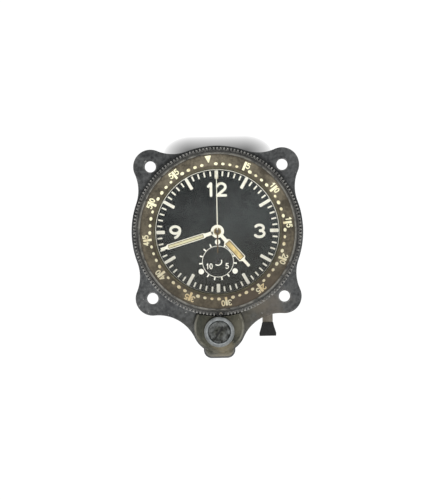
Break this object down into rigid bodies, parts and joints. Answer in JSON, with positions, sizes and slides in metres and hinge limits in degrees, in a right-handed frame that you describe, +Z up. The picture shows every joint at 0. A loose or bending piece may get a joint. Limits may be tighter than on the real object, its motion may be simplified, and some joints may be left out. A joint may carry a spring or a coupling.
{
  "type": "aircraft clock",
  "caption": "Panel-mounted aircraft clock with a toothed rotating minute bezel, glazed dial, sweep hand, minute counter, winding crown and setting lever.",
  "frame": {"origin": "on the dial axis, in the plane where the flange meets the panel", "axes": "+X to the right of the dial, +Z up towards 12 o'clock, dial facing -Y and the can behind the panel at +Y"},
  "size_m": [0.06, 0.0383, 0.0742],
  "materials": {
    "case_paint": "worn satin grey paint",
    "housing_paint": "worn olive grey paint",
    "scale_paint": "aged matt brown paint",
    "black_paint": "matt black paint",
    "dial_paint": "matt black paint",
    "hand_paint": "aged cream paint",
    "seal_rubber": "matt",
    "clear_glass": "polished",
    "gilt_brass": "fine grained",
    "grey_steel": "brushed",
    "crown_metal": "dull plated",
    "crown_dark": "blackened",
    "lever_metal": "tarnished",
    "grip_plastic": "moulded"
  },
  "bodies": {
    "case": {"case_flange": "case_paint", "can": "case_paint", "rear_cover": "case_paint", "rear_gasket": "seal_rubber", "rear_cover_screws": "grey_steel", "winding_housing": "housing_paint", "housing_screws": "grey_steel", "glass": "clear_glass", "glass_gasket": "seal_rubber", "glass_ring": "black_paint", "rehaut_ring": "black_paint", "dial": "dial_paint", "movement_ring": "gilt_brass", "movement_screws": "grey_steel", "main_plate": "gilt_brass", "train_bridge": "gilt_brass", "barrel_bridge": "gilt_brass", "balance_cock": "gilt_brass", "chrono_bridge": "gilt_brass", "bridge_screws": "grey_steel"},
    "bezel": {"bezel": "case_paint", "bezel_scale": "scale_paint", "bezel_snap_ring": "grey_steel"},
    "hour": {"hour_hand": "hand_paint", "hour_wheel": "gilt_brass"},
    "minute": {"minute_hand": "hand_paint", "cannon_pinion": "grey_steel"},
    "minute_wheel": {"minute_wheel": "gilt_brass"},
    "sweep": {"sweep_hand": "hand_paint", "chrono_wheel": "grey_steel"},
    "counter_idler": {"counter_idler": "gilt_brass"},
    "counter": {"counter_wheel": "gilt_brass", "counter_hand": "black_paint"},
    "centre_wheel": {"centre_wheel": "gilt_brass"},
    "third_wheel": {"third_wheel": "gilt_brass"},
    "fourth_wheel": {"fourth_wheel": "gilt_brass"},
    "escape_wheel": {"escape_wheel": "grey_steel"},
    "pallet_fork": {"pallet_fork": "grey_steel"},
    "balance": {"balance_wheel": "gilt_brass", "hairspring": "grey_steel"},
    "barrel": {"barrel": "gilt_brass", "mainspring": "grey_steel"},
    "barrel_arbor": {"barrel_arbor": "grey_steel", "ratchet_wheel": "grey_steel"},
    "click": {"click": "grey_steel"},
    "winding_idler": {"winding_idler": "grey_steel"},
    "crown_wheel": {"crown_wheel": "grey_steel"},
    "winding_stem": {"winding_stem": "grey_steel"},
    "contrate_wheel": {"contrate_wheel": "gilt_brass"},
    "crown_sleeve": {"crown_sleeve": "gilt_brass", "crown_spring": "grey_steel"},
    "crown": {"crown": "crown_metal", "crown_disc": "crown_dark", "crown_shaft": "grey_steel"},
    "setting_lever": {"setting_lever": "lever_metal", "lever_grip": "grip_plastic"}
  },
  "joints": [
    {"name": "bezel_turn", "type": "hinge", "parent": "case", "child": "bezel", "pos_m": [0, -0.01, 0], "axis": [0, 1, 0], "continuous": true},
    {"name": "minute_turn", "type": "hinge", "parent": "case", "child": "minute", "pos_m": [0, -0.008, 0], "axis": [0, 1, 0], "continuous": true},
    {"name": "minute_wheel_turn", "type": "hinge", "parent": "case", "child": "minute_wheel", "pos_m": [0.006, -0.007, 0], "axis": [0, 1, 0], "continuous": true},
    {"name": "hour_turn", "type": "hinge", "parent": "case", "child": "hour", "pos_m": [0, -0.009, 0], "axis": [0, 1, 0], "continuous": true},
    {"name": "sweep_turn", "type": "hinge", "parent": "case", "child": "sweep", "pos_m": [0, 0, 0], "axis": [0, 1, 0], "continuous": true},
    {"name": "counter_idler_turn", "type": "hinge", "parent": "case", "child": "counter_idler", "pos_m": [0, 0.006, -0.0045], "axis": [0, 1, 0], "continuous": true},
    {"name": "counter_turn", "type": "hinge", "parent": "case", "child": "counter", "pos_m": [0, 0, -0.0105], "axis": [0, 1, 0], "continuous": true},
    {"name": "third_turn", "type": "hinge", "parent": "case", "child": "third_wheel", "pos_m": [0.00186, 0, 0.00695], "axis": [0, 1, 0], "continuous": true},
    {"name": "centre_turn", "type": "hinge", "parent": "case", "child": "centre_wheel", "pos_m": [0, 0, 0], "axis": [0, 1, 0], "continuous": true},
    {"name": "fourth_turn", "type": "hinge", "parent": "case", "child": "fourth_wheel", "pos_m": [0.00655, 0, 0.01089], "axis": [0, 1, 0], "continuous": true},
    {"name": "escape_turn", "type": "hinge", "parent": "case", "child": "escape_wheel", "pos_m": [0.01198, 0, 0.00891], "axis": [0, 1, 0], "continuous": true},
    {"name": "barrel_turn", "type": "hinge", "parent": "case", "child": "barrel", "pos_m": [-0.00957, 0, -0.00446], "axis": [0, 1, 0], "continuous": true},
    {"name": "pallet_rock", "type": "hinge", "parent": "case", "child": "pallet_fork", "pos_m": [0.01231, 0, 0.00473], "axis": [0, 1, 0], "range_deg": [-5, 5]},
    {"name": "balance_swing", "type": "hinge", "parent": "case", "child": "balance", "pos_m": [0.013, 0, -0.0038], "axis": [0, 1, 0], "range_deg": [-270, 270], "stiffness_Nm_per_rad": 0.0000022},
    {"name": "click_lift", "type": "hinge", "parent": "case", "child": "click", "pos_m": [-0.01106, -0.0025, 0.00401], "axis": [0, 1, 0], "range_deg": [0, 10], "stiffness_Nm_per_rad": 0.0002, "springref_deg": -5.73},
    {"name": "crown_push", "type": "slide", "parent": "case", "child": "crown_sleeve", "axis": [0, 1, 0], "range_m": [0, 0.0015], "stiffness_N_per_m": 1500, "springref_m": -0.0005, "deforming": ["crown_spring"]},
    {"name": "crown_turn", "type": "hinge", "parent": "crown_sleeve", "child": "crown", "pos_m": [0, -0.016, -0.035], "axis": [0, 1, 0], "continuous": true},
    {"name": "contrate_turn", "type": "hinge", "parent": "case", "child": "contrate_wheel", "pos_m": [0, -0.005, -0.035], "axis": [0, 1, 0], "continuous": true},
    {"name": "stem_turn", "type": "hinge", "parent": "case", "child": "winding_stem", "pos_m": [0, -0.0048, -0.025], "axis": [0, 0, 1], "continuous": true},
    {"name": "crown_wheel_turn", "type": "hinge", "parent": "case", "child": "crown_wheel", "pos_m": [0, -0.0025, -0.016], "axis": [0, 1, 0], "continuous": true},
    {"name": "winding_idler_turn", "type": "hinge", "parent": "case", "child": "winding_idler", "pos_m": [-0.00618, -0.0025, -0.01328], "axis": [0, 1, 0], "continuous": true},
    {"name": "ratchet_turn", "type": "hinge", "parent": "case", "child": "barrel_arbor", "pos_m": [-0.00957, -0.0025, -0.00446], "axis": [0, 1, 0], "continuous": true},
    {"name": "lever_pull", "type": "slide", "parent": "case", "child": "setting_lever", "axis": [0, 0, -1], "range_m": [0, 0.003]}
  ],
  "couplings": [
    {"joint": "minute_wheel_turn", "follows": "minute_turn", "ratio": -0.33333},
    {"joint": "hour_turn", "follows": "minute_turn", "ratio": 0.083333},
    {"joint": "counter_idler_turn", "follows": "sweep_turn", "ratio": -0.2},
    {"joint": "counter_turn", "follows": "sweep_turn", "ratio": 0.066667},
    {"joint": "centre_turn", "follows": "third_turn", "ratio": -0.125},
    {"joint": "fourth_turn", "follows": "third_turn", "ratio": -7.5},
    {"joint": "escape_turn", "follows": "third_turn", "ratio": 75},
    {"joint": "barrel_turn", "follows": "third_turn", "ratio": 0.017857},
    {"joint": "contrate_turn", "follows": "crown_turn", "ratio": 1},
    {"joint": "stem_turn", "follows": "crown_turn", "ratio": 2},
    {"joint": "crown_wheel_turn", "follows": "crown_turn", "ratio": 1.25},
    {"joint": "winding_idler_turn", "follows": "crown_turn", "ratio": -0.83333},
    {"joint": "ratchet_turn", "follows": "crown_turn", "ratio": 0.625}
  ]
}
